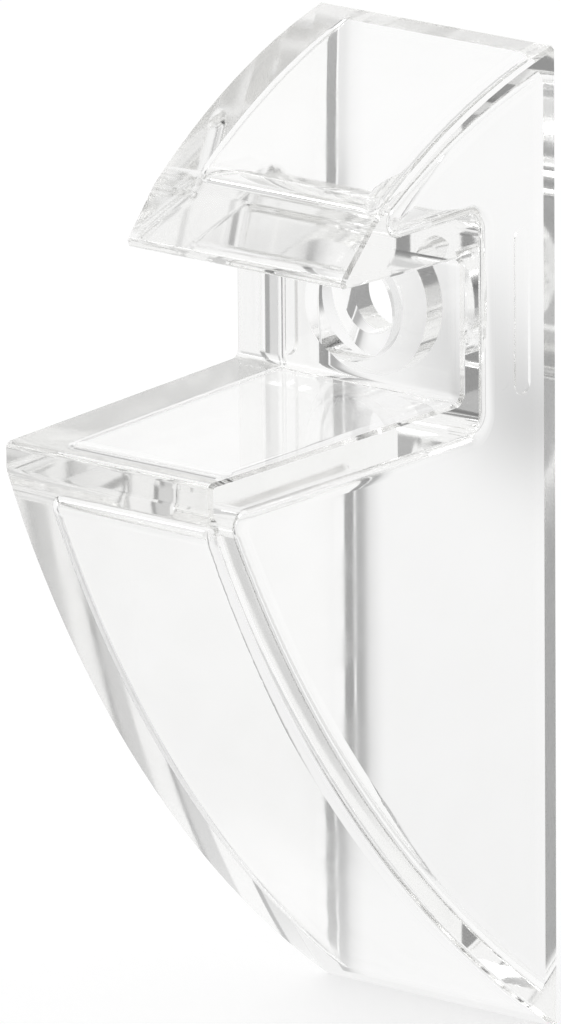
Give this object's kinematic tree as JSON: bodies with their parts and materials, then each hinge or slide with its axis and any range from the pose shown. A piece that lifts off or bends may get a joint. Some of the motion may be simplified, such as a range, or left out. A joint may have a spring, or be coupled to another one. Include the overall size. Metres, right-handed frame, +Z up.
{
  "type": "shelf clip",
  "caption": "Clear moulded shelf clip shaped like an open beak: screwed to a wall, its slot holds the edge of a thin shelf.",
  "frame": {"origin": "where the screw's axis meets the wall plane, midway up the slot", "axes": "+Z up, +Y into the wall, so the slot opens towards -Y; X runs across the clip along the shelf's edge"},
  "size_m": [0.0204, 0.036, 0.07],
  "materials": {
    "clear_plastic": "clear polished"
  },
  "bodies": {
    "root": {"shelf_clip": "clear_plastic"}
  },
  "joints": []
}
